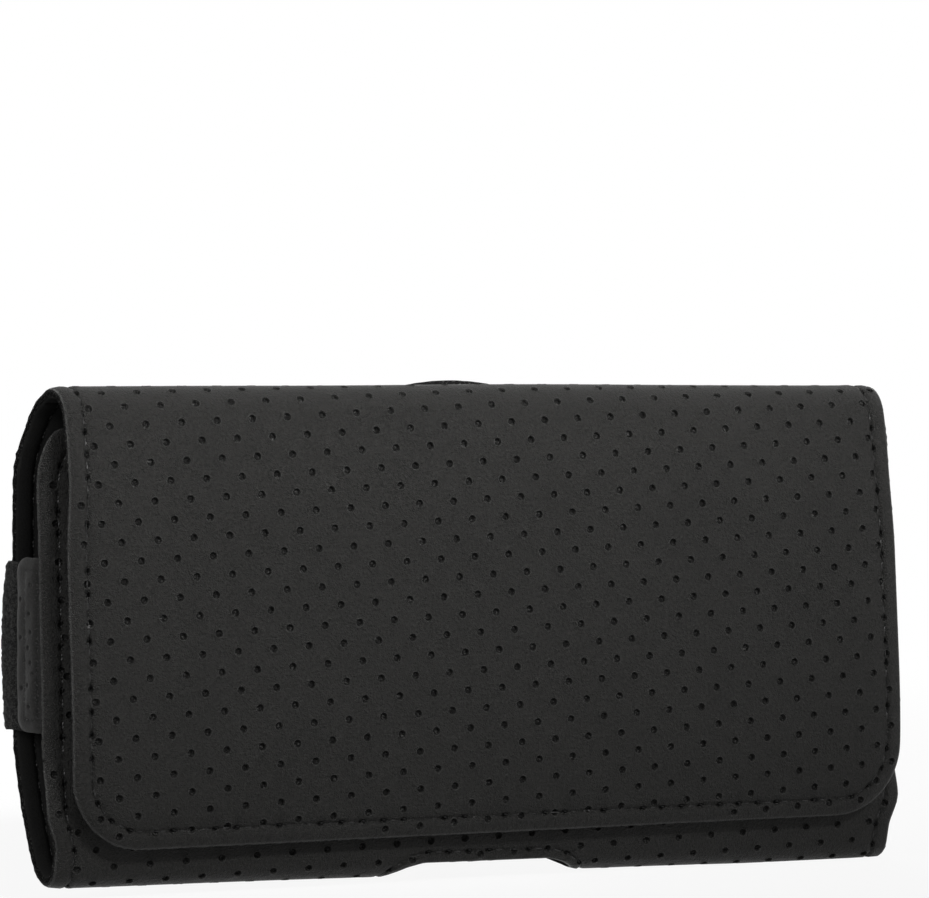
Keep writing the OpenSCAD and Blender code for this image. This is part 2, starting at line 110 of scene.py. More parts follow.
# Lengths and turns of the strip's stretches, and the heading at the flap's lower edge
stretches = [(18.3, -13), (12, -3), (28.01, 0), (21, -12), arc(top_r, -97), (3.61, 0), arc(nape_r, -56),
             (20, -12), (36.87, 0), (7, -19), (19.94, 0), arc(fold_r, -146), (20, -15), (14, -3),
             (28.27, 0), (19, -10)]
first_heading = math.radians(103)
lengths = np.array([length for length, _ in stretches])
turns = np.radians([turn for _, turn in stretches])
marks = np.concatenate([[0], np.cumsum(lengths)])
headings = first_heading + np.concatenate([[0], np.cumsum(turns)])
strip_end = marks[-1]
# The two creases on top, the join between them and the lowest line of the bottom fold
crease_flap = (marks[4] + marks[5]) / 2
crease_nape = (marks[6] + marks[7]) / 2
strip_join = (marks[5] + marks[6]) / 2
fold_s = marks[11] + (math.pi / 2 - math.radians(19)) * fold_r


def step(y, z, heading, turn, length, part):
    """The place after going the part of a stretch, on its arc or straight."""
    bend = turn * part / length
    radius = np.where(turn == 0, 1, length / np.where(turn == 0, 1, turn))
    straight = turn == 0
    dy = np.where(straight, part * np.cos(heading), radius * (np.sin(heading + bend) - np.sin(heading)))
    dz = np.where(straight, part * np.sin(heading), -radius * (np.cos(heading + bend) - np.cos(heading)))
    return y + dy, z + dz, heading + bend


knots = [(0.0, 0.0)]
for k in range(len(stretches)):
    y, z, _ = step(*knots[-1], headings[k], turns[k], lengths[k], lengths[k])
    knots.append((float(y), float(z)))
knots = np.array(knots)


def walk(s):
    """y, z and heading of the strip's outer face at the length s."""
    k = np.clip(np.searchsorted(marks, s, side="right") - 1, 0, len(stretches) - 1)
    return step(knots[k, 0], knots[k, 1], headings[k], turns[k], lengths[k], s - marks[k])


# The back wall's face and the bottom fold lie where the frame has them
back_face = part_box("clip_patch")[0].y / mm
fold_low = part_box("body_leather")[0].z / mm
knots += (back_face - knots[8, 0], fold_low - walk(np.array(fold_s))[1])


def ease(value, low, high):
    """0 up to low, 1 from high, and smooth between them."""
    t = np.clip((value - low) / (high - low), 0, 1)
    return t * t * (3 - 2 * t)


# The bottom fold sits a little low at its right end, the middle of the top stands a little high, the ends of
# the pocket wall curl back, and the flap hangs a little to the right
sag_right = 1.35
sag_middle = 0.4
sag_top = 75
sag_low = 30
top_rise = 0.3
rise_start = 45
curl = 4.6
curl_w = 16
curl_fade = 0.6
curl_ease = 6
curl_done = 3
flap_curl = 0.8
flap_curl_w = 12
flap_swing = 0.6
swing_start = 5


def curls(x, s):
    """How far the ends of the pocket wall and of the flap curl back, and how steeply."""
    mouth = 1 - curl_fade * ease(s, marks[15] + curl_ease, strip_end)
    pocket = curl * mouth * ease(s, marks[12] + curl_ease, marks[13] + curl_done)
    front = flap_curl * (1 - ease(s, marks[3], marks[4]))
    back = slope = 0
    for much, half, width in ((pocket, pouch_w / 2, curl_w), (front, flap_w / 2, flap_curl_w)):
        share = np.clip((np.abs(x) - (half - width)) / width, 0, 1)
        back, slope = back + much * share ** 2, slope + 2 * np.sign(x) * (much * share / width)
    return back, slope


def settle(x, y, z, s):
    """Moves points of the pouch as the photographed one has settled."""
    height = z - fold_low
    body = ease(s, crease_nape, marks[7])
    low = 1 - ease(height, sag_low, sag_top)
    z = z - body * low * (sag_middle + sag_right * x / (flap_w / 2))
    z = z + top_rise * ease(height, sag_top, pouch_h) * (1 - ease(np.abs(x), 0, rise_start))
    return x + flap_swing * (1 - ease(s, swing_start, marks[4])), y + curls(x, s)[0], z


def on_strip(x, s, out):
    """Points at x along the pouch, s along the strip and out from its outer face, in metres."""
    y, z, heading = walk(s)
    slope = curls(x, s)[1]
    level = out / np.sqrt(1 + slope ** 2)
    x, y, z = settle(x, y, z, s)
    return np.c_[x + level * slope, y - level * np.sin(heading), z + level * np.cos(heading)] * mm


def near(points, line):
    """Distance of each point from the nearest of the line's points."""
    tree = KDTree(len(line))
    for k, p in enumerate(line):
        tree.insert((p[0], p[1], 0), k)
    tree.balance()
    return np.array([tree.find((p[0], p[1], 0))[2] for p in points])


def inside(points, loop):
    """Which points lie inside a closed loop."""
    count = np.zeros(len(points), int)
    for a, b in zip(loop, np.roll(loop, -1, 0)):
        crosses = (a[1] > points[:, 1]) != (b[1] > points[:, 1])
        if a[1] != b[1]:
            at = a[0] + (points[:, 1] - a[1]) * (b[0] - a[0]) / (b[1] - a[1])
            count += crosses & (points[:, 0] < at)
    return count % 2 == 1


def ring_line(loop):
    """A loop as a line that ends where it starts."""
    return np.vstack([loop, loop[:1]])


def resample(line, spacing, closed=False):
    """The same line with points about spacing apart."""
    line = np.asarray(line, float)
    if closed:
        line = ring_line(line)
    gone = np.concatenate([[0], np.cumsum(np.linalg.norm(np.diff(line, axis=0), axis=1))])
    at = np.linspace(0, gone[-1], max(2, int(round(gone[-1] / spacing)) + 1))
    made = np.c_[np.interp(at, gone, line[:, 0]), np.interp(at, gone, line[:, 1])]
    return made[:-1] if closed else made


def fine_loop(loop):
    return resample(loop, fine_spacing, closed=True)


def normals(line, closed=False):
    """Unit normals to the right of a line."""
    if closed:
        along = np.roll(line, -1, 0) - np.roll(line, 1, 0)
    else:
        along = np.gradient(line, axis=0)
    along = along / np.linalg.norm(along, axis=1)[:, None]
    return np.c_[along[:, 1], -along[:, 0]]


def within(points, loops):
    """Which points lie inside the first loop and outside the others."""
    keep = inside(points, loops[0])
    for loop in loops[1:]:
        keep &= ~inside(points, loop)
    return keep


def fill(points, loops):
    """Triangles over the points, inside the first loop and outside the others."""
    edges, start = [], 0
    for loop in loops:
        edges += [(start + k, start + (k + 1) % len(loop)) for k in range(len(loop))]
        start += len(loop)
    found, _, faces, _, _, _ = delaunay_2d_cdt([Vector(p) for p in points], edges, [], 0, 1e-6)
    if len(found) != len(points):
        raise ValueError("two points of a panel lie on each other")
    faces = np.array(faces)
    faces = faces[within(points[faces].mean(1), loops)]
    a, b, c = (points[faces[:, k]] for k in range(3))
    ab, ac = b - a, c - a
    flipped = ab[:, 0] * ac[:, 1] - ab[:, 1] * ac[:, 0] < 0
    faces[flipped] = faces[flipped][:, ::-1]
    return faces


sharp_angle = 50


def build(name, points, faces, material, flat=None, cut_core_and_painted_light=None):
    """A smooth mesh object, which keeps for its material its flat coordinates and how dark it is: the cut
    edges' own colour, painted shade and painted highlight.
    """
    mesh = bpy.data.meshes.new(name)
    mesh.from_pydata([tuple(p) for p in points], [], [tuple(int(k) for k in f) for f in faces])
    mesh.polygons.foreach_set("use_smooth", [True] * len(mesh.polygons))
    mesh.set_sharp_from_angle(angle=math.radians(sharp_angle))
    if flat is not None:
        mesh.attributes.new("flat", "FLOAT_VECTOR", "POINT").data.foreach_set("vector", flat.ravel())
    if cut_core_and_painted_light is not None:
        mesh.attributes.new("cut_core_and_painted_light", "FLOAT", "POINT").data.foreach_set("value", cut_core_and_painted_light)
    mesh.materials.append(material)
    return add_object(name, mesh)


# Rings of a punched hole and of a needle hole, which the thread draws out along the seam: half-length and
# half-width in mm, depth, and how much painted shade it gets (below 0: a painted highlight on the lip). The
# last one is the floor.
punch_rings = [((0.98, 0.98), 0.0, 0.0), ((0.8, 0.8), -0.05, -0.35), ((0.66, 0.66), 0.16, 0.1),
               ((0.56, 0.56), 0.5, 0.8), ((0, 0), 0.55, 0.65)]
needle_rings = [((0.9, 0.62), 0.0, 0.0), ((0.74, 0.5), 0.1, 0.6), ((0.58, 0.38), 0.5, 1.0),
                ((0, 0), 0.7, 1.0)]
flap_pit_sides = 12
body_pit_sides = 10
needle_sides = 8
# Spacings of a panel's points, and how far its loose points keep from the rim, the grooves and the pits
rim_spacing = 0.8
groove_spacing = 0.8
fine_spacing = 0.4
groove_gap = 0.3
across_gap = 2.6
flap_across_gap = 2.2
grid_gap = 0.5
back_gap = 0.8
pit_gap = 0.15
join_reach = 0.3
edge_rows = 3
cut_dark = 0.85
# The rim's painted highlight, lighter below 0, and the width over which it fades inwards
painted_rim_highlight = -0.8
rim_highlight_w = 0.45
# Painted shade along the seam grooves, and its width
seam_painted_shade = 0.85
seam_painted_shade_w = 0.25


def panel(name, place, loops, pits, relief, depth, rows, across, material, grooves=(), fuzz=0.08, seed=1,
          rim_highlight=painted_rim_highlight, joins=()):
    """A closed panel with pits in its face, a rough cut edge and a plain back. place turns two flat
    coordinates and a height into a point, and each kind of pit is given as places, ways, rings and sides.
    rub is the painted highlight along the rim, lighter below 0, apart from the lengths in joins, where the
    next panel goes on."""
    chance = np.random.default_rng(seed)
    loops = [turned(resample(loop, rim_spacing, closed=True), 1 if k == 0 else -1)
             for k, loop in enumerate(loops)]
    rim = np.vstack(loops)
    # The rim gets a painted highlight, left off where the next panel goes on
    rim_highlights = np.full(len(rim), rim_highlight)
    for join in joins:
        rim_highlights[np.abs(rim[:, 1] - join) < join_reach] = 0
    low, high = rim.min(0), rim.max(0)
    columns = np.linspace(low[0], high[0], int((high[0] - low[0]) / across) + 2)
    grid = np.array([(x, s) for s in rows for x in columns])
    grid = grid[within(grid, loops)]
    outward = np.vstack([normals(loop, closed=True) for loop in loops])
    loose = loose_points(rim, outward, loops, grid, grooves, pits)
    shade = np.zeros(len(loose))
    # Painted shade along the seam grooves, uneven from point to point
    if len(grooves):
        lines = np.vstack([resample(line, fine_spacing) for line, _ in grooves])
        shade = seam_painted_shade * np.exp(-(near(loose, lines) / seam_painted_shade_w) ** 2)
        shade = shade * chance.uniform(0.5, 1, len(loose))
    pit_face, pit_drop, pit_dark = pit_points(pits)
    face = np.vstack([rim, *pit_face, loose])
    drop = np.concatenate([np.zeros(len(rim)), *pit_drop, np.zeros(len(loose))])
    dark = np.concatenate([rim_highlights, *pit_dark, shade])
    height = relief(face) - drop

    back = np.vstack([rim, grid[near(grid, rim) > back_gap]])
    back_depth = depth(back) if callable(depth) else np.full(len(back), float(depth))

    points, flat, cut_core_and_painted_light = [], [], []

    def add(at, level, shades):
        points.append(place(at[:, 0], at[:, 1], level))
        flat.append(np.c_[at, level])
        cut_core_and_painted_light.append(np.broadcast_to(shades, len(at)))

    add(face, height, dark)
    faces = [tuple(f) for f in fill(face, loops)]
    count = len(face)
    previous = np.arange(len(rim))
    for row in range(1, edge_rows + 1):
        share = row / (edge_rows + 1)
        wobble = chance.normal(0, fuzz, len(rim)) + fuzz
        level = (1 - share) * height[:len(rim)] - share * back_depth[:len(rim)]
        add(rim + outward * wobble[:, None], level, cut_dark)
        current = count + np.arange(len(rim))
        faces += walls(previous, current, loops)
        previous = current
        count += len(rim)
    add(back, -back_depth, cut_dark)
    faces += walls(previous, count + np.arange(len(rim)), loops)
    faces += [tuple(count + f[::-1]) for f in fill(back, loops)]
    return build(name, np.vstack(points), faces, material, np.vstack(flat), np.concatenate(cut_core_and_painted_light))


def pit_points(pits):
    """The points of the pits' rings, how deep each of them is and its painted shade, a painted highlight
    below 0.
    """
    face, drop, dark = [], [], []
    for places, ways, rings, sides in pits:
        turn = np.linspace(0, 2 * math.pi, sides, endpoint=False)[None, :, None]
        sideways = np.c_[-ways[:, 1], ways[:, 0]]
        for (long, wide), down, shade in rings:
            ring = places
            if long:
                ring = (places[:, None] + long * np.cos(turn) * ways[:, None]
                        + wide * np.sin(turn) * sideways[:, None]).reshape(-1, 2)
            face.append(ring)
            drop.append(np.full(len(ring), down))
            dark.append(np.full(len(ring), shade))
    return face, drop, dark


def loose_points(rim, outward, loops, grid, grooves, pits):
    """The face's points apart from rim and pits: a row just inside the rim, the grooves and the grid."""
    loose = grid
    if len(grooves):
        grooved = beside_lines(grooves)
        grooved = grooved[within(grooved, loops)]
        loose = np.vstack([grooved, grid[near(grid, grooved) > grid_gap]])
    loose = np.vstack([rim - outward * rim_highlight_w, loose[near(loose, rim) > 2 * rim_highlight_w]])
    for places, _, rings, _ in pits:
        loose = loose[near(loose, places) > rings[0][0][0] + pit_gap]
    return loose


def beside_lines(grooves):
    """Points of the grooves: each line with its neighbours on both sides, none of them too close together."""
    made = []
    for line, widths in grooves:
        line = resample(line, groove_spacing)
        side = normals(line)
        made += [line + side * width for width in widths]
    made = np.vstack(made)
    _, first = np.unique(np.round(made / groove_gap), axis=0, return_index=True)
    return made[np.sort(first)]


def turned(loop, way):
    """The loop going anticlockwise for way 1 and clockwise for way -1."""
    x, s = loop[:, 0], loop[:, 1]
    area = np.sum(x * np.roll(s, -1) - np.roll(x, -1) * s)
    return loop if area * way > 0 else loop[::-1]


def walls(upper, lower, loops):
    """Faces between two rows of rim points."""
    faces, start = [], 0
    for loop in loops:
        n = len(loop)
        for k in range(n):
            a, b = start + k, start + (k + 1) % n
            faces.append((upper[b], upper[a], lower[a], lower[b]))
        start += n
    return faces


class Wire:
    """A socket of a material or of the world, so that shader maths reads as plain sums."""

    def __init__(self, tree, socket=None):
        self.tree, self.socket = tree, socket

    def node(self, kind, settings, inputs, output=0):
        """Adds a node: first its settings, then the values or wires of its sockets."""
        made = self.tree.nodes.new(kind)
        for name, value in settings.items():
            setattr(made, name, value)
        self.feed(made, inputs)
        return Wire(self.tree, made.outputs[output])

    def feed(self, node, inputs):
        for name, value in inputs.items():
            socket = node.inputs[name]
            if isinstance(value, Wire):
                self.tree.links.new(value.socket, socket)
            elif socket.type == "RGBA":
                socket.default_value = (*value, 1)
            else:
                socket.default_value = value

    def maths(self, operation, *values):
        return self.node("ShaderNodeMath", {"operation": operation}, dict(enumerate(values)))

    def __add__(self, other):
        return self.maths("ADD", self, other)

    def __sub__(self, other):
        return self.maths("SUBTRACT", self, other)

    def __rsub__(self, other):
        return self.maths("SUBTRACT", other, self)

    def __mul__(self, other):
        return self.maths("MULTIPLY", self, other)

    __radd__, __rmul__ = __add__, __mul__

    def mix(self, first, second):
        """Colour that goes from first to second as this wire goes from 0 to 1."""
        return self.node("ShaderNodeMix", {"data_type": "RGBA"}, {0: self, 6: first, 7: second}, 2)

    def scaled(self, factor):
        return self.node("ShaderNodeVectorMath", {"operation": "SCALE"}, {0: self, "Scale": factor})

    def stored(self, name, output):
        """What build() stored on the points: output 1 gives a vector and 2 a number."""
        return self.node("ShaderNodeAttribute", {"attribute_name": name}, {}, output)

    def noise(self, scale, detail=2, rough=0.5):
        return self.node("ShaderNodeTexNoise", {}, {"Vector": self, "Scale": scale, "Detail": detail,
                                                    "Roughness": rough})

    def cells(self, scale):
        """Distance from the borders of the grain's cells."""
        return self.node("ShaderNodeTexVoronoi", {"feature": "DISTANCE_TO_EDGE"},
                         {"Vector": self, "Scale": scale})

    def bump(self, strength, depth):
        """A normal for this wire as a height, of the depth in mm."""
        return self.node("ShaderNodeBump", {}, {"Strength": strength, "Distance": depth * mm, "Height": self})


def finish_of(name, roughness, shine=0.12):
    """A new material with its shader, and a wire to build on."""
    material = bpy.data.materials.new(name)
    material.use_nodes = True
    shader = material.node_tree.nodes["Principled BSDF"]
    wire = Wire(material.node_tree)
    wire.feed(shader, {"Roughness": roughness, "Specular IOR Level": shine})
    return material, shader, wire


def cut_fibres(flat):
    """Colour of a raw edge: nearly black, with pale fibre ends."""
    ends = flat.maths("MAXIMUM", flat.noise(2.2, 3, 0.7) * 9 - 4.9, 0)
    return ends.mix((0.0025,) * 3, (0.11, 0.11, 0.107))


def leather_finish(name, dark, light, gloss, grain):
    """Fine-grained black synthetic leather with painted glints, a painted highlight along its rims and
    painted shade in its pits and seam grooves, and full of fibres where it is cut.
    """
    material, shader, wire = finish_of(name, gloss)
    flat = wire.stored("flat", 1)
    cut_core_and_painted_light = wire.stored("cut_core_and_painted_light", 2)
    broad, fine = flat.noise(0.06, 3, 0.6), flat.noise(1.7, 4, 0.65)
    # The thresholded bright spots are painted glints. Below 0 the stored darkness lightens the rim as a
    # painted highlight; above 0 it gives painted shade in the pits and seam grooves, and the cut edges their
    # own dark fibre colour.
    painted_glints = wire.maths("MAXIMUM", flat.noise(2.8, 2, 0.6) * 3 - 1.85, 0)
    colour = (broad * 0.5 + fine * 3.2 - 1.35).mix(dark, light)
    edge_wear_and_painted_highlight = (painted_glints - cut_core_and_painted_light).mix(colour, (0.075, 0.075, 0.073))
    wire.feed(shader, {"Base Color": cut_core_and_painted_light.mix(edge_wear_and_painted_highlight, cut_fibres(flat)),
                       "Roughness": fine * 0.24 + (gloss - 0.12) + cut_core_and_painted_light * 0.3,
                       "Normal": (flat.cells(2.3) * 0.7 + fine).bump(1, grain)})
    return material


leather = leather_finish("punched_leather", (0.011, 0.011, 0.0105), (0.027, 0.0265, 0.025), 0.46, 0.38)

# Holes lie on a square grid set diagonally, whose rows climb a little to the right
hole_pitch = 5
hole_lean = 2.7
hole_turn = math.radians(45 + hole_lean)
hole_first = (-12.6, 44.8)
hole_keep = 1.5
spare_rows = 30


def punched(low, high, room):
    """The holes between two lengths of the strip for which room leaves space."""
    reach = int(strip_end / hole_pitch) + spare_rows
    i, j = np.meshgrid(np.arange(-reach, reach), np.arange(-reach, reach))
    x = hole_first[0] + hole_pitch * (i * math.cos(hole_turn) - j * math.sin(hole_turn))
    s = hole_first[1] + hole_pitch * (i * math.sin(hole_turn) + j * math.cos(hole_turn))
    found = np.c_[x.ravel(), s.ravel()]
    found = found[(found[:, 1] > low) & (found[:, 1] < high) & (np.abs(found[:, 0]) < pouch_w / 2)]
    return found[room(found) > hole_keep]


def round_pits(places, rings, sides):
    return places, np.tile((1.0, 0.0), (len(places), 1)), rings, sides


# Ends of the pouch: straight in the middle, drawn in at the bottom fold and at the top
fold_waist = 1.8
fold_waist_h = 20
pocket_waist = (6.5, 14)
flap_trim = 0.15
flap_neck = 0.8
neck_rise = (52, 70)
neck_fall = (84, 93)
top_waist = 3
top_waist_h = (76, 91)


def bow(reach, t):
    """0 at t 0 and the reach at t 1, on a rounded line that gets steeper."""
    return 2 * reach * (1 - np.sqrt(1 - 0.75 * np.clip(t, 0, 1) ** 2))


def end_of(s):
    """Half the strip's width at the length s."""
    z = walk(s)[1] - fold_low
    back = bow(fold_waist, 1 - z / fold_waist_h) + top_waist * ease(z, *top_waist_h)
    body = pouch_w / 2 - np.where(s < fold_s, back, fold_waist * (1 - ease(z, *pocket_waist)))
    flap = flap_w / 2 - flap_trim - flap_neck * ease(s, *neck_rise) * (1 - ease(s, *neck_fall))
    flap = flap + (pouch_w / 2 - top_waist - flap) * ease(s, marks[4], strip_join)
    return np.where(s < strip_join, flap, body)


corner_points = 24


def round_corner(x, s, r, first, last):
    """Points round a corner whose middle is at x, s."""
    a = np.radians(np.linspace(first, last, corner_points))
    return np.c_[x + r * np.cos(a), s + r * np.sin(a)]


def mirrored(side):
    """A loop that goes up its right side, which is given, and comes back down the left."""
    return np.vstack([side, (side * (-1, 1))[::-1]])


def round_low(side):
    """An open line down the right side, round the lower edge and up the left."""
    return np.vstack([side[::-1], side * (-1, 1)])


flap_corner_r = 14
pocket_corner = (5, 9.5)
stitch_in = 3.4


def flap_side(inset, top):
    r = flap_corner_r - inset
    corner = round_corner(flap_w / 2 - flap_trim - flap_corner_r, flap_corner_r, r, -90, 0)
    s = np.arange(flap_corner_r + 1, top, 1.0)
    return np.vstack([corner, np.c_[end_of(s) - inset, s], [[end_of(top) - inset, top]]])


def body_side(inset, bottom):
    """The right side of the body's strip, up to its long rounded corner at the mouth."""
    across, along = (r - inset / 2 for r in pocket_corner)
    corner_s = strip_end - inset - along
    corner = round_corner(0, 0, 1, 0, 90) * (across, along)
    corner += (float(end_of(np.array(corner_s))) - inset - across, corner_s)
    s = np.arange(bottom, corner_s - fine_spacing, rim_spacing)
    return np.vstack([np.c_[end_of(s) - inset, s], corner])


# Notch in the bottom fold, as a loop round the fold
notch_x = -0.4
notch_w = 39
notch_top_w = 26.4
notch_h = 2.5
notch_knee = 0.65
notch_reach = 12
notch_columns = 61
notch_rows = 200


def notch_loop(grow):
    """The notch's outline, or a line that runs round it at the distance grow."""
    x = np.array([notch_w / 2, (notch_w + notch_top_w) / 4, notch_top_w / 2])
    z = np.array([0, notch_knee * notch_h, notch_h])
    across = np.linspace(-notch_w / 2, notch_w / 2, notch_columns)
    rise = np.interp(np.abs(across), x[::-1], z[::-1])
    behind = np.linspace(fold_s - notch_reach, fold_s, notch_rows)
    before = np.linspace(fold_s, fold_s + notch_reach, notch_rows)
    low = float(walk(np.array(fold_s))[1])
    back_s = np.interp(-rise, -(walk(behind)[1] - low), behind)
    front_s = np.interp(rise, walk(before)[1] - low, before)
    loop = np.vstack([np.c_[across, front_s][::-1], np.c_[across, back_s][1:-1]])
    loop = resample(loop, rim_spacing, closed=True)
    return loop + normals(loop, closed=True) * grow + (notch_x, 0)


groove_widths = (-0.8, -0.35, 0, 0.35, 0.8)
groove_deep = 0.38
groove_w = 0.4
stitch_l = 4.2
needle_clear = 1.6
needle_rim = 0.7


def needles(lines, holes, rims):
    """The needle holes along the lines, left out where a punched hole or another is too close."""
    lines = [resample(line, stitch_l) for line in lines]
    spots, sides = np.vstack(lines), np.vstack([normals(line) for line in lines])
    apart = np.linalg.norm(spots[:, None] - spots[None], axis=2)
    keep = ((near(spots, rims) > needle_rings[0][0][0] + needle_rim) & (near(spots, holes) > needle_clear)
            & ~np.any(np.tril(apart < needle_clear, -1), axis=1))
    ways = np.c_[-sides[:, 1], sides[:, 0]]
    return spots[keep], ways[keep], needle_rings, needle_sides


shoulder_w = 1.5
shoulder_deep = 0.5
wave = 0.1


def strip_relief(rim_lines, stitch_lines):
    """Height of the leather's face: it rolls off at cut edges and is drawn in along the stitches."""
    rim, lines = (np.vstack([resample(line, fine_spacing) for line in kind])
                  for kind in (rim_lines, stitch_lines))

    def relief(points):
        edge = np.clip(1 - near(points, rim) / shoulder_w, 0, 1)
        groove = np.exp(-(near(points, lines) / groove_w) ** 2)
        x, s = points[:, 0], points[:, 1]
        # Slow waves of 60 to 250 mm, and smaller ones, as in soft leather that has been handled
        soft = np.sin(x / 23 + s / 31) * np.sin(s / 17 - x / 41) + 0.6 * np.sin(x / 11 + 2) * np.sin(s / 9)
        return wave * soft - shoulder_deep * edge ** 2 - groove_deep * groove

    return relief


row_turn = 5
row_gap = 3


def rows_between(low, high):
    """Lengths at which a panel gets rows of points: close in the bends, wider on the flat."""
    made = []
    for k in range(len(stretches)):
        a, b = max(low, marks[k]), min(high, marks[k + 1])
        if b > a:
            turn = abs(math.degrees(turns[k])) * (b - a) / lengths[k]
            n = max(1, math.ceil(turn / row_turn), math.ceil((b - a) / row_gap))
            made += [a + (b - a) * (i + 0.5) / n for i in range(n)]
    return made


# The leather's back clears the lining by a hair, and its holes keep clear of the join on top
skin_t = leather_t - 0.05
join_clear = 0.8
stitch_over = 0.01
flap_rim = flap_side(0, strip_join)
flap_stitch = round_low(flap_side(stitch_in, strip_join + stitch_over))
flap_relief = strip_relief([round_low(flap_rim)], [flap_stitch])
flap_loop = mirrored(flap_rim)
flap_dense = fine_loop(flap_loop)
flap_holes = punched(0, strip_join - join_clear, lambda p: near(p, flap_dense))
flap_needles = needles([flap_stitch], flap_holes, flap_dense)
flap_piece = panel("flap_leather_strip", on_strip, [flap_loop],
                   [round_pits(flap_holes, punch_rings, flap_pit_sides), flap_needles],
                   flap_relief, skin_t, rows_between(0, strip_join), flap_across_gap, leather,
                   [(flap_stitch, groove_widths)], joins=[strip_join])

# The pocket wall from its lower part on is a panel of its own, which stays still when the flap opens
pocket_join = marks[13]
body_rim = body_side(0, strip_join)
body_stitch_side = body_side(stitch_in, strip_join - stitch_over)
notch_stitch_in = 2.3
notch_rim = notch_loop(0)
notch_stitch = ring_line(notch_loop(notch_stitch_in))
notch_dense = fine_loop(notch_rim)
side_step = 0.2


def both_sides(side):
    return [side, side * (-1, 1)]


def at_join(side):
    return [[np.interp(pocket_join, side[:, 1], side[:, 0]), pocket_join]]


def back_side(side):
    """The part of the body's right side that belongs to the back and the bottom fold."""
    return np.vstack([side[side[:, 1] < pocket_join - side_step], at_join(side)])


def front_side(side):
    """The part that belongs to the pocket wall."""
    return np.vstack([at_join(side), side[side[:, 1] > pocket_join + side_step]])


body_lines = both_sides(body_stitch_side)
mouth_rim = body_rim[-1] * np.array([(1, 1), (-1, 1)])
body_relief = strip_relief(both_sides(body_rim) + [mouth_rim, notch_dense], body_lines + [notch_stitch])
back_lines = both_sides(back_side(body_stitch_side))
front_line = mirrored(front_side(body_stitch_side))
back_loop, front_loop = mirrored(back_side(body_rim)), mirrored(front_side(body_rim))
front_dense = fine_loop(front_loop)
back_rims = np.vstack([fine_loop(back_loop), notch_dense])
back_holes = punched(strip_join + join_clear, pocket_join,
                     lambda p: near(p, back_rims) * np.where(inside(p, notch_rim), 0, 1))
front_holes = punched(pocket_join, strip_end, lambda p: near(p, front_dense))
back_needles = needles(back_lines + [notch_stitch], back_holes, back_rims)
back_piece = panel("back_leather_strip", on_strip, [back_loop, notch_rim],
                   [round_pits(back_holes, punch_rings, body_pit_sides), back_needles], body_relief,
                   skin_t, rows_between(strip_join, pocket_join), across_gap, leather,
                   [(line, groove_widths) for line in back_lines + [notch_stitch]], seed=2,
                   joins=[strip_join, pocket_join])
front_needles = needles([front_line], front_holes, front_dense)
pocket_piece = panel("pocket_leather_strip", on_strip, [front_loop],
                     [round_pits(front_holes, punch_rings, body_pit_sides), front_needles],
                     body_relief, skin_t, rows_between(pocket_join, strip_end), across_gap, leather,
                     [(front_line, groove_widths)], seed=6, joins=[pocket_join])

# The two lengths that meet on top are baked in place, each with the zone round its crease worked out, and all
# else stays attached to the holster.
bend_reach = 5.2


def crease_zone(s):
    """Where the bending at a crease starts and ends, going on along the strip."""
    y, z, heading = (float(v) for v in walk(np.array(s)))
    dy, dz = bend_reach * math.cos(heading), bend_reach * math.sin(heading)
    return (0, (y - dy) * mm, (z - dz) * mm), (0, (y + dy) * mm, (z + dz) * mm)


def stand_for(piece, slot, *nodes):
    """Hides the frame's nodes that the piece replaces, if there are any. slot is not used."""
    if nodes:
        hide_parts(*nodes)


def bend_flap(piece, *row):
    end, start = crease_zone(crease_flap)
    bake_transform(piece)
    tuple(start)
    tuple(end)
    stand_for(piece, *row)


def bend_body(piece, *row):
    end, start = crease_zone(crease_nape)
    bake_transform(piece)
    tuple(start)
    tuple(end)
    stand_for(piece, *row)


def stay(piece, *row):
    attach(piece, "holster")
    stand_for(piece, *row)


bend_flap(flap_piece, "perforated_leather", "flap_leather", "spine_leather")
bend_body(back_piece, "perforated_leather", "body_leather")
stay(pocket_piece, "perforated_leather")


# The lining is a thin brushed fabric behind the leather. It is glued round the fibre boards, which lie
# in pockets of it, and its raw edge shows as a dark fuzzy band beside the leather's edge.
lining_t = 0.5
lining_inset = 0.2
board_margin = 7
board_play = 1
back_board_s = (marks[7] + 4, marks[10] + 8)
pocket_board_s = (marks[12] + 3, strip_end - board_margin)
flap_board_s = (board_margin, marks[3] + 14)


def fabric_finish(name, dark, light, fibre):
    """Matt brushed fabric with short uneven fibres."""
    material, shader, wire = finish_of(name, 0.95, 0.03)
    flat = wire.stored("flat", 1)
    cut_core_and_painted_light = wire.stored("cut_core_and_painted_light", 2)
    fine, broad = flat.noise(fibre, 4, 0.7), flat.noise(0.15, 2)
    colour = (fine * 0.7 + broad * 0.3).mix(dark, light)
    # The cut edges take the fibres' own dark colour, and the seam grooves painted shade in that colour
    wire.feed(shader, {"Base Color": cut_core_and_painted_light.mix(colour, cut_fibres(flat)), "Sheen Weight": 0.02,
                       "Normal": fine.bump(0.6, 0.15)})
    return material


lining = fabric_finish("brushed_lining", (0.01,) * 3, (0.046, 0.046, 0.045), 3)


def on_lining(x, s, out):
    """Points on the lining's inner face, with out going into the pocket."""
    return on_strip(-x, s, -wall_t - out)


def lining_depth(boards):
    """How deep the lining goes behind its face: less where a board lies behind it."""
    def depth(points):
        x, s = np.abs(points[:, 0]), points[:, 1]
        covered = np.zeros(len(points), bool)
        for (low, high), half in boards:
            covered |= (s > low - board_play) & (s < high + board_play) & (x < half)
        return np.where(covered, lining_t, wall_t - leather_t)
    return depth


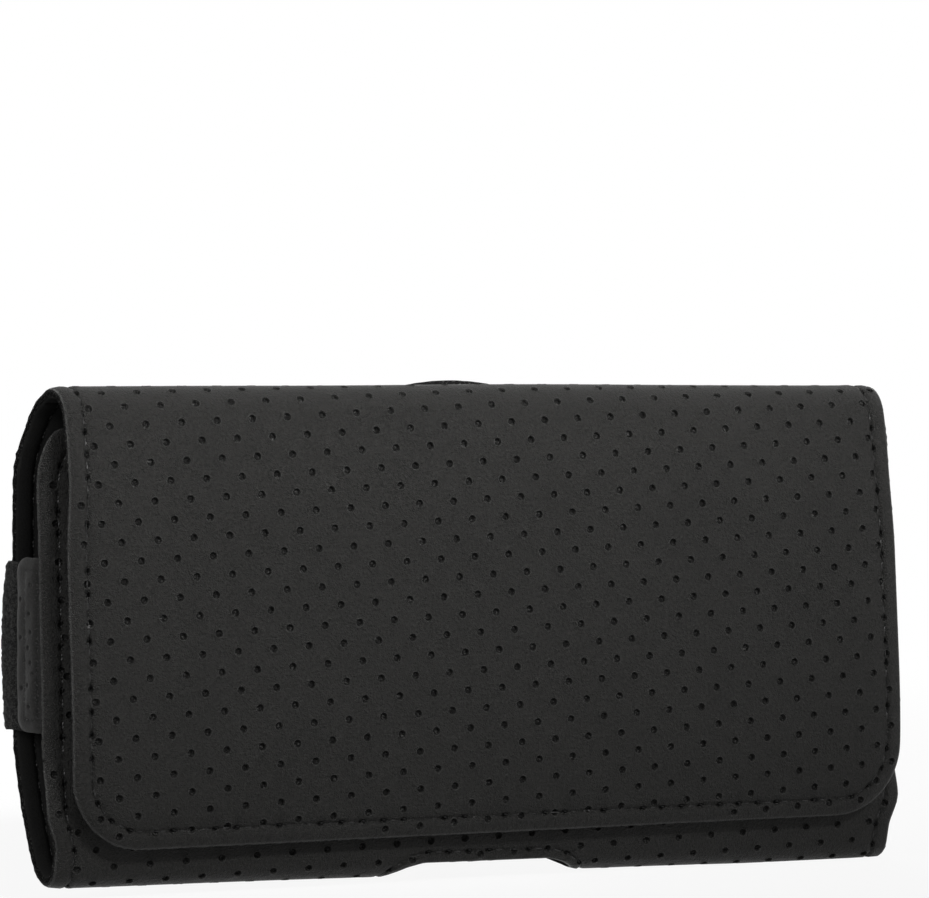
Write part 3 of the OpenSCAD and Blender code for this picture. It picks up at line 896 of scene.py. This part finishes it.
def lining_panel(name, loops, stitch_lines, boards, rows, seed):
    relief = strip_relief([ring_line(loop) for loop in loops], stitch_lines)
    return panel(name, on_lining, loops, [], relief, lining_depth(boards), rows, across_gap, lining,
                 [(line, groove_widths) for line in stitch_lines], fuzz=0.1, seed=seed, rim_highlight=0)


half_board = pouch_w / 2 - board_margin
lining_side = body_side(lining_inset, strip_join)
flap_cloth = lining_panel("flap_lining_cloth", [mirrored(flap_side(lining_inset, strip_join))],
                          [flap_stitch], [(flap_board_s, flap_w / 2 - board_margin)],
                          rows_between(0, strip_join), 3)
back_cloth = lining_panel("back_lining_cloth", [mirrored(back_side(lining_side)), notch_loop(lining_inset)],
                          back_lines + [notch_stitch],
                          [(back_board_s, half_board), (pocket_board_s, half_board)],
                          rows_between(strip_join, pocket_join), 4)
pocket_cloth = lining_panel("pocket_lining_cloth", [mirrored(front_side(lining_side))], [front_line],
                            [(pocket_board_s, half_board)], rows_between(pocket_join, strip_end), 7)
bend_flap(flap_cloth, "lining", "flap_lining", "spine_lining")
bend_body(back_cloth, "lining", "body_lining")
stay(pocket_cloth, "lining")


# Single-needle seams run a few millimetres inside the cut edges. Each stitch is a short length of twisted
# polyester thread that dips into the leather at both ends.
thread_r = 0.2
thread_sink = 0.62
thread_rise = 0.52
thread_tip = 0.4
thread_rings = 7
thread_sides = 7


def thread_finish():
    material, shader, wire = finish_of("twisted_thread", 0.3, 0.5)
    flat = wire.stored("flat", 1)
    twist = wire.node("ShaderNodeTexWave", {"bands_direction": "DIAGONAL"}, {
        "Vector": flat, "Scale": 0.8, "Distortion": 0.6, "Detail": 1})
    wire.feed(shader, {"Base Color": twist.mix((0.001,) * 3, (0.006, 0.006, 0.0058)),
                       "Normal": twist.bump(0.7, 0.08)})
    return material


thread = thread_finish()


def sew(name, place, lines, relief):
    """Stitches along lines of flat coordinates, on the face that place and relief give."""
    points, faces, flat = [], [], []
    turn = np.linspace(0, 2 * math.pi, thread_sides, endpoint=False)
    share = np.linspace(0, 1, thread_rings)
    arch = np.sin(math.pi * share)
    radius = thread_r * (thread_tip + (1 - thread_tip) * np.sqrt(arch))
    for line in lines:
        line = resample(line, stitch_l)
        for a, b in zip(line[:-1], line[1:]):
            length = np.linalg.norm(b - a)
            along = (b - a) / length
            side = np.array([along[1], -along[0]])
            middle = a + share[:, None] * (b - a)
            level = relief(middle) - thread_sink + thread_rise * arch
            ring = middle[:, None, :] + (radius[:, None] * np.cos(turn))[:, :, None] * side
            up = level[:, None] + radius[:, None] * np.sin(turn)
            start = sum(len(p) for p in points)
            points.append(place(ring[..., 0].ravel(), ring[..., 1].ravel(), up.ravel()))
            flat.append(np.c_[np.repeat(share * length, thread_sides),
                              np.tile(turn * thread_r * 2, thread_rings), np.zeros(up.size)])
            for r in range(thread_rings - 1):
                for k in range(thread_sides):
                    n = (k + 1) % thread_sides
                    i, j = start + r * thread_sides, start + (r + 1) * thread_sides
                    faces.append((i + k, i + n, j + n, j + k))
            faces.append(tuple(start + k for k in range(thread_sides))[::-1])
            faces.append(tuple(start + (thread_rings - 1) * thread_sides + k for k in range(thread_sides)))
    return build(name, np.vstack(points), faces, thread, np.vstack(flat))


for piece in (sew("flap_seam", on_strip, [flap_stitch], flap_relief),
              sew("flap_lining_seam", on_lining, [flap_stitch], flap_relief)):
    bend_flap(piece, "perforated_leather")
for piece in (sew("back_seam", on_strip, back_lines, body_relief),
              sew("notch_seam", on_strip, [notch_stitch], body_relief),
              sew("back_lining_seam", on_lining, back_lines, body_relief)):
    bend_body(piece, "perforated_leather")
for piece in (sew("pocket_seam", on_strip, [front_line], body_relief),
              sew("pocket_lining_seam", on_lining, [front_line], body_relief)):
    stay(piece, "perforated_leather")


# A side tab of soft leather comes out from between the leather and the lining at each end of the pocket
# wall. A foam strip in it makes a padded rib between two pressed creases, and the elastic lies under it.
tab_h = 32.4
tab_drop = 0.2
tab_back_r = 3
tab_front = -19.4
tab_line = np.array([(-19.6, 88.6), (-18.9, 89.1), (-17.5, 89.75), (-15.0, 90.35), (-11.8, 91.0)])
tab_t = 0.9
rib_y = -16.4
rib_half = 1.5
rib_long = 13.6
rib_rise = 0.1
crease_out = 0.3
crease_deep = 0.1
crease_w = 0.35
tab_shoulder = 0.3
tab_shoulder_w = 1.2
tab_slack = 0.1
tab_spacing = 0.3
tab_rows = 0.55
tab_pricks = [(-0.4, 11.2), (2.9, 8.4), (0.3, 5.7), (-0.3, 2.4), (0.5, -0.6), (-0.2, -3.4), (-1.0, -5.4),
              (0.7, -7.6), (2.8, -8.2), (0.2, -11.4), (3.0, 1.2)]
# Rings of the tab's pricks: half-length and half-width, depth, and the painted shade in the prick
tab_rings = [((0.7, 0.7), 0.0, 0.0), ((0.5, 0.5), 0.04, 0.2), ((0.36, 0.36), 0.15, 0.5), ((0, 0), 0.2, 0.55)]
tab_leather = leather_finish("tab_leather", (0.014, 0.014, 0.0135), (0.025, 0.0245, 0.0235), 0.45, 0.06)


def tab_piece(name, side):
    """A tab whose first flat coordinate is side times y, so that both tabs face outwards."""
    low, high = (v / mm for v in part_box(name))
    middle = (low.z + high.z) / 2 - tab_drop
    back = high.y

    def place(a, z, out):
        y = side * a
        x = side * (np.interp(y, tab_line[:, 0], tab_line[:, 1]) + out)
        x, y, z = settle(x, y, z, np.full(len(y), marks[8]))
        return np.c_[x, y, z] * mm

    def outline(inset):
        r = tab_back_r - inset / 2
        upper = round_corner(back - inset - r, middle + tab_h / 2 - inset - r, r, 0, 90)
        lower = round_corner(back - inset - r, middle - tab_h / 2 + inset + r, r, -90, 0)
        loop = np.vstack([[[tab_front, middle - tab_h / 2 + inset]], lower, upper,
                          [[tab_front, middle + tab_h / 2 - inset]]])
        return loop * (side, 1)

    rim = resample(outline(0), tab_spacing, closed=True)
    w, h = rib_half + crease_out, rib_long + crease_out
    creases = resample(np.array([(rib_y - w, middle - h), (rib_y + w, middle - h), (rib_y + w, middle + h),
                                 (rib_y - w, middle + h), (rib_y - w, middle - h)]) * (side, 1), tab_spacing)

    def relief(points):
        y, z = points[:, 0] * side, points[:, 1] - middle
        edge = np.clip(1 - near(points, rim) / tab_shoulder_w, 0, 1)
        crown = np.clip(1 - (np.abs(y - rib_y) / rib_half) ** 2, 0, 1)
        run = np.clip(1 - (np.abs(z) / rib_long) ** 10, 0, 1)
        slack = tab_slack * np.sin(z / 2.3 + y) * np.sin(z / 5.1)
        crease = np.exp(-(near(points, creases) / crease_w) ** 2)
        return rib_rise * crown * run + slack - crease_deep * crease - tab_shoulder * edge ** 2

    pricks = np.array([(side * (rib_y + dy), middle + dz) for dy, dz in tab_pricks])
    rows = np.arange(middle - tab_h / 2, middle + tab_h / 2, tab_rows)
    # The creases get a seam groove's painted shade
    tab = panel(name + "_leather", place, [outline(0)], [round_pits(pricks, tab_rings, body_pit_sides)],
                relief, tab_t, rows, fine_spacing, tab_leather, [(creases, (0,))], fuzz=0.05, seed=5, rim_highlight=0)
    stay(tab, "tab_leather", name)


for end_name, end_side in (("side_tab_left", -1), ("side_tab_right", 1)):
    tab_piece(end_name, end_side)


# An elastic band joins each tab to the back, so that the pocket can widen. It is a coarse woven web, sewn
# to the back and tucked under the tab.
elastic_h = 31.4
elastic_drop = 0.7
elastic_t = 1.3
elastic_rise = [(0, 0), (7, 0), (9, 0.5), (11.5, 1)]
elastic_bend_r = 2.7
elastic_run = np.array([(91.2, -7.0), (90.85, -9.5), (90.1, -11.6), (89.6, -13.2), (88.7, -16.9)])
belly = 0.35
belly_top = 1.0
belly_low = 0.55
belly_start = 5
belly_full = 0.5
belly_end = 2
web_nap = 0.06
web_spacing = 0.45
web_columns = 100
web_ragged = 0.05
hem_thin = 0.25
hem_w = 1


def web_finish():
    material, shader, wire = finish_of("woven_elastic", 0.8)
    flat = wire.stored("flat", 1)
    mottle, fine = flat.noise(1.3, 3, 0.7), flat.noise(4.5, 3, 0.6)
    colour = (mottle * 3.4 + fine * 3.4 - 3.1).mix((0.0015,) * 3, (0.06, 0.06, 0.0585))
    wire.feed(shader, {"Base Color": colour, "Normal": (mottle + fine * 0.5).bump(0.8, 0.2)})
    return material


web = web_finish()


def slab_faces(n, m):
    """Faces of two sheets of n by m points, one behind the other, and of the rim between them."""
    faces = []
    for i in range(n - 1):
        for j in range(m - 1):
            a, b, c, d = i * m + j, i * m + j + 1, (i + 1) * m + j + 1, (i + 1) * m + j
            faces.append((a, b, c, d))
            faces.append((n * m + d, n * m + c, n * m + b, n * m + a))
    ring = ([(i, 0) for i in range(n)] + [(n - 1, j) for j in range(1, m)]
            + [(i, m - 1) for i in range(n - 2, -1, -1)] + [(0, j) for j in range(m - 2, 0, -1)])
    ring = [i * m + j for i, j in ring]
    return faces + [(a, b, n * m + b, n * m + a) for a, b in zip(ring, ring[1:] + ring[:1])]


def elastic_piece(name, side):
    """A band whose line is walked in plan, from its sewn end on the back to the end under the tab."""
    low, high = (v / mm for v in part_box(name))
    middle = (low.z + high.z) / 2 - elastic_drop
    inner, outer = (low.x, high.x) if side > 0 else (-high.x, -low.x)
    lift = high.y - back_face - elastic_t
    under = outer - elastic_t
    line = np.array([(inner + dx, back_face + lift * share) for dx, share in elastic_rise])
    corner = round_corner(under - elastic_bend_r, back_face + lift - elastic_bend_r, elastic_bend_r, 90, 0)
    line = resample(np.vstack([line, corner, elastic_run - (elastic_t, 0)]), web_spacing)
    length = web_spacing * (len(line) - 1)
    side_way = normals(line) * -1
    across = np.linspace(-elastic_h / 2, elastic_h / 2, web_columns)
    u = np.linspace(0, length, len(line))
    chance = np.random.default_rng(11)
    weave = chance.normal(0, 1, (len(line), len(across)))
    weave = weave + np.roll(weave, 1, 0) + np.roll(weave, 1, 1) + np.roll(weave, (1, 1), (0, 1))
    weave = weave / 2 * web_nap
    bulge = belly - np.where(across > 0, belly_top, belly_low) * (2 * across / elastic_h) ** 2
    bulge = bulge[None, :] * (ease(line[:, 0], under - belly_start, under - belly_full)
                              * ease(line[:, 1], elastic_run[-1, 1] + belly_end, elastic_run[0, 1]))[:, None]
    ragged = across[None, :] + chance.normal(0, web_ragged, (len(line), len(across)))
    edge = hem_thin * np.clip((np.abs(across) - elastic_h / 2 + hem_w) / hem_w, 0, 1) ** 2
    points, flat = [], []
    for face in (elastic_t, 0):
        out = bulge + (face + weave - edge[None, :] if face else edge[None, :] * 0.5)
        xy = line[:, None, :] + side_way[:, None, :] * out[..., None]
        z = ragged + middle
        x, y, z = settle(side * xy[..., 0].ravel(), xy[..., 1].ravel(), z.ravel(), np.full(z.size, marks[8]))
        points.append(np.c_[x, y, z] * mm)
        flat.append(np.c_[np.repeat(u, len(across)), np.tile(across, len(u)), np.full(z.size, face)])
    faces = slab_faces(*weave.shape)
    if side < 0:
        faces = [f[::-1] for f in faces]
    band = build(name + "_web", np.vstack(points), faces, web, np.vstack(flat))
    stay(band, "elastic", name)


for end_name, end_side in (("elastic_left", -1), ("elastic_right", 1)):
    elastic_piece(end_name, end_side)


# The belt clip is a bent strip of spring steel, riveted through a leather patch on the back and slipped
# into a leather cover. Two sewn leather loops stand beside it for a belt worn without the clip.
edge_round = 0.35
solid_sharp = 35


def frame_finish(name, dark, light, gloss, grain, metal=0.0):
    """A finish for the frame's own solids: mottled colour, uneven gloss and a fine grain."""
    material, shader, wire = finish_of(name, gloss)
    spot = wire.node("ShaderNodeTexCoord", {}, {}, 3).scaled(1 / mm)
    broad, fine = spot.noise(0.1, 3), spot.noise(1.7, 4, 0.65)
    wire.feed(shader, {"Base Color": (broad * 0.6 + fine * 0.4).mix(dark, light), "Metallic": metal,
                       "Roughness": fine * 0.16 + (gloss - 0.08),
                       "Normal": (spot.cells(2.3) * 0.6 + fine * 0.8).bump(0.35, grain)})
    return material


plain_leather = frame_finish("plain_leather", (0.012, 0.012, 0.0115), (0.025, 0.0245, 0.023), 0.5, 0.09)
coated_steel = frame_finish("coated_spring_steel", (0.012, 0.012, 0.0125), (0.02, 0.02, 0.021),
                            0.38, 0.01, 0.3)
rivet_steel = frame_finish("dark_rivet_steel", (0.16, 0.16, 0.165), (0.24, 0.24, 0.245), 0.3, 0.006, 1.0)
fibre_board = frame_finish("pressed_fibre_board", (0.3, 0.24, 0.16), (0.4, 0.33, 0.23), 0.85, 0.1)
nickel = frame_finish("nickel_plate", (0.5, 0.5, 0.5), (0.62, 0.61, 0.6), 0.25, 0.004, 1.0)

# The pocket wall's board follows the wall's curled ends, so it is made again here
board_t = 0.9
board_r = 4


def board_side():
    corner = round_corner(half_board - board_r, pocket_board_s[1] - board_r, board_r, 0, 90)
    s = np.arange(pocket_board_s[0], pocket_board_s[1] - board_r, 2.0)
    return np.vstack([np.c_[np.full(len(s), half_board), s], corner])


pocket_stiffener = panel("pocket_stiffener", lambda x, s, out: on_strip(x, s, out - leather_t),
                         [mirrored(board_side())], [], lambda p: np.zeros(len(p)), board_t,
                         rows_between(*pocket_board_s), across_gap, fibre_board, fuzz=0.03, seed=8)
stay(pocket_stiffener, "board", "pocket_board")

for finish, node_names in ((plain_leather, ("clip_cover", "belt_loop_left", "belt_loop_right")),
                           (coated_steel, ("clip_spring",)),
                           (rivet_steel, ("clip_rivets", "rivet_washers")),
                           (fibre_board, ("back_board", "flap_board")),
                           (nickel, ("pocket_magnet_left", "pocket_magnet_right",
                                     "flap_magnet_left", "flap_magnet_right"))):
    for node_name in node_names:
        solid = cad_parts[node_name]
        solid.data.materials.clear()
        solid.data.materials.append(finish)
        if finish in (plain_leather, coated_steel):
            edge_wear_and_painted_highlight = solid.modifiers.new("worn_edges", "BEVEL")
            edge_wear_and_painted_highlight.width, edge_wear_and_painted_highlight.segments, edge_wear_and_painted_highlight.angle_limit = edge_round * mm, 2, math.radians(solid_sharp)

# The patch is a plate of leather with an arched top, sewn round its edge
patch_t = 1.4
patch_w = 42
patch_r = 6
patch_arch_r = 50
patch_low = -34.9
patch_top = 28.05
patch_rows = 2.5
border_in = 2
seam_proud = 0.15


def patch_loop(inset):
    r, arch_r = patch_r - inset / 2, patch_arch_r - inset
    x, arch_z = patch_w / 2 - inset - r, patch_top - inset - arch_r
    rise = math.sqrt((arch_r - r) ** 2 - x ** 2)
    turn = math.degrees(math.atan2(rise, x))
    return mirrored(np.vstack([round_corner(x, patch_low + inset + r, r, -90, 0),
                               round_corner(x, arch_z + rise, r, 0, turn),
                               round_corner(0, arch_z, arch_r, turn, 90)]))


def on_patch(x, z, out):
    return np.c_[-x, back_face + patch_t + out, z] * mm


patch_stitch = ring_line(patch_loop(border_in))
patch_relief = strip_relief([fine_loop(patch_loop(0))], [patch_stitch])
patch = panel("clip_patch_leather", on_patch, [patch_loop(0)], [], patch_relief, patch_t,
              np.arange(patch_low, patch_top, patch_rows), across_gap, leather,
              [(patch_stitch, groove_widths)], fuzz=0.02, seed=9)
stay(patch, "plain_leather", "clip_patch")

# Each loop is sewn to the back with a box of stitches at both feet, and the cover is sewn round its flat
loop_start = marks[8] - 16
loop_x = 56
loop_half = 13
loop_long = 66
loop_t = 1.8
loop_gap = 5
loop_foot = 7
loop_ramp = 4
loop_fit = 0.15
foot_in = 1.4
foot_gap = 1.6
cover_ends_in = (2, 1)
cover_half = 18
cover_high = (6.9, 19.87)
cover_foot = (5.49, -34.11)
cover_long = math.dist(cover_high, cover_foot)


def on_loop(x, t, out):
    lift = (1 - np.cos(math.pi * np.clip((np.minimum(t, loop_long - t) - loop_foot) / loop_ramp, 0, 1))) / 2
    y, z, heading = walk(loop_start + t)
    out = out + loop_fit + loop_t + loop_gap * lift
    return np.c_[x, y - out * np.sin(heading), z + out * np.cos(heading)] * mm


def on_cover(x, t, out):
    y, z = (high + (foot - high) * t / cover_long for high, foot in zip(cover_high, cover_foot))
    return np.c_[x, y + out, z] * mm


def box_lines(low, high, half, middle=0):
    """The two long sides and two ends of a box of stitches."""
    corners = np.array([(middle - half, low), (middle + half, low),
                        (middle + half, high), (middle - half, high)])
    return [corners[[k, (k + 1) % 4]] for k in range(4)]


loop_in = loop_half - border_in
low_foot = (foot_in, loop_foot - foot_gap)
high_foot = (loop_long - loop_foot + foot_gap, loop_long - foot_in)
foot_boxes = [box_lines(*foot, loop_in, side * loop_x) for side in (-1, 1) for foot in (low_foot, high_foot)]
long_sides = [np.array([(x, low_foot[1]), (x, high_foot[0])])
              for x in (-loop_x - loop_in, -loop_x + loop_in, loop_x - loop_in, loop_x + loop_in)]
cover_box = box_lines(cover_ends_in[0], cover_long - cover_ends_in[1], cover_half - border_in)


def proud(points):
    return np.full(len(points), seam_proud)


for piece in (sew("patch_seam", on_patch, [patch_stitch], patch_relief),
              sew("loop_seams", on_loop, sum(foot_boxes, []) + long_sides, proud),
              sew("cover_seam", on_cover, cover_box, proud)):
    stay(piece, "plain_leather")


# The pouch stands on a pale studio floor that fades into a white background. A gridded strip light from
# the upper front is strongest on the top edge, and soft lights reach the left end and the back.
floor_size = 4
floor_gap = 1.2
floor_tone = 0.2
floor_pale = 0.9
fade_near = 0.9
fade_start = 0.15
fade_end = 0.7
room_light = 0.12


def seen_light(wire):
    """1 for what the camera, a mirror or glass sees, and 0 for the light that falls on things."""
    camera_ray, glossy_ray, through_ray = (
        wire.node("ShaderNodeLightPath", {}, {}, kind)
        for kind in ("Is Camera Ray", "Is Glossy Ray", "Is Transmission Ray"))
    return wire.maths("MINIMUM", camera_ray + glossy_ray + through_ray, 1)


floor_z = cad_box[0].z - floor_gap * mm
corners = [(x * floor_size, y * floor_size, floor_z) for x, y in ((-1, -1), (1, -1), (1, 1), (-1, 1))]
floor_material, floor_shader, floor_wire = finish_of("studio_floor", 0.9)
seen = seen_light(floor_wire)
floor_wire.feed(floor_shader, {"Base Color": seen.mix((floor_tone,) * 3, (floor_pale,) * 3)})
glow = floor_wire.node("ShaderNodeEmission", {}, {"Strength": 1})
spot = floor_wire.node("ShaderNodeTexCoord", {}, {}, 3)
away = floor_wire.node("ShaderNodeVectorMath", {"operation": "LENGTH"}, {0: spot}, 1)
fade = floor_wire.node("ShaderNodeMapRange", {"interpolation_type": "SMOOTHSTEP"}, {
    "Value": away, "From Min": fade_start, "From Max": fade_end, "To Min": fade_near, "To Max": 1})
matt = Wire(floor_wire.tree, floor_shader.outputs[0])
surface = floor_wire.node("ShaderNodeMixShader", {}, {0: fade * seen, 1: matt, 2: glow})
floor_wire.feed(floor_material.node_tree.nodes["Material Output"], {"Surface": surface})
build("floor", corners, [(0, 1, 2, 3)], floor_material)


def lamp(name, spot, aim, width, height, power, spread=180):
    """A rectangular studio light in metres and watts, with a grid before it if the spread is below 180."""
    light = bpy.data.lights.new(name, "AREA")
    light.shape = "RECTANGLE"
    light.size, light.size_y, light.energy, light.spread = width, height, power, math.radians(spread)
    made = add_object(name, light)
    made.location = spot
    made.rotation_euler = (Vector(aim) - Vector(spot)).to_track_quat("-Z", "Y").to_euler()


lamp("key_light", (0.22, -0.72, 0.52), (0.02, 0, 0.17), 0.4, 0.1, 0.98, 34)
lamp("side_light", (-0.8, -0.3, 0.3), (0, 0, 0), 0.5, 0.5, 1.9)
lamp("back_light", (0.35, 0.9, 0.06), (0, 0, 0), 0.8, 0.2, 6)

world = bpy.data.worlds.new("studio")
bpy.context.scene.world = world
world.use_nodes = True
studio = Wire(world.node_tree)
strength = seen_light(studio) * (1 - room_light) + room_light
studio.feed(world.node_tree.nodes["Background"], {"Color": (1, 1, 1), "Strength": strength})

bpy.context.scene.view_settings.view_transform = "Standard"
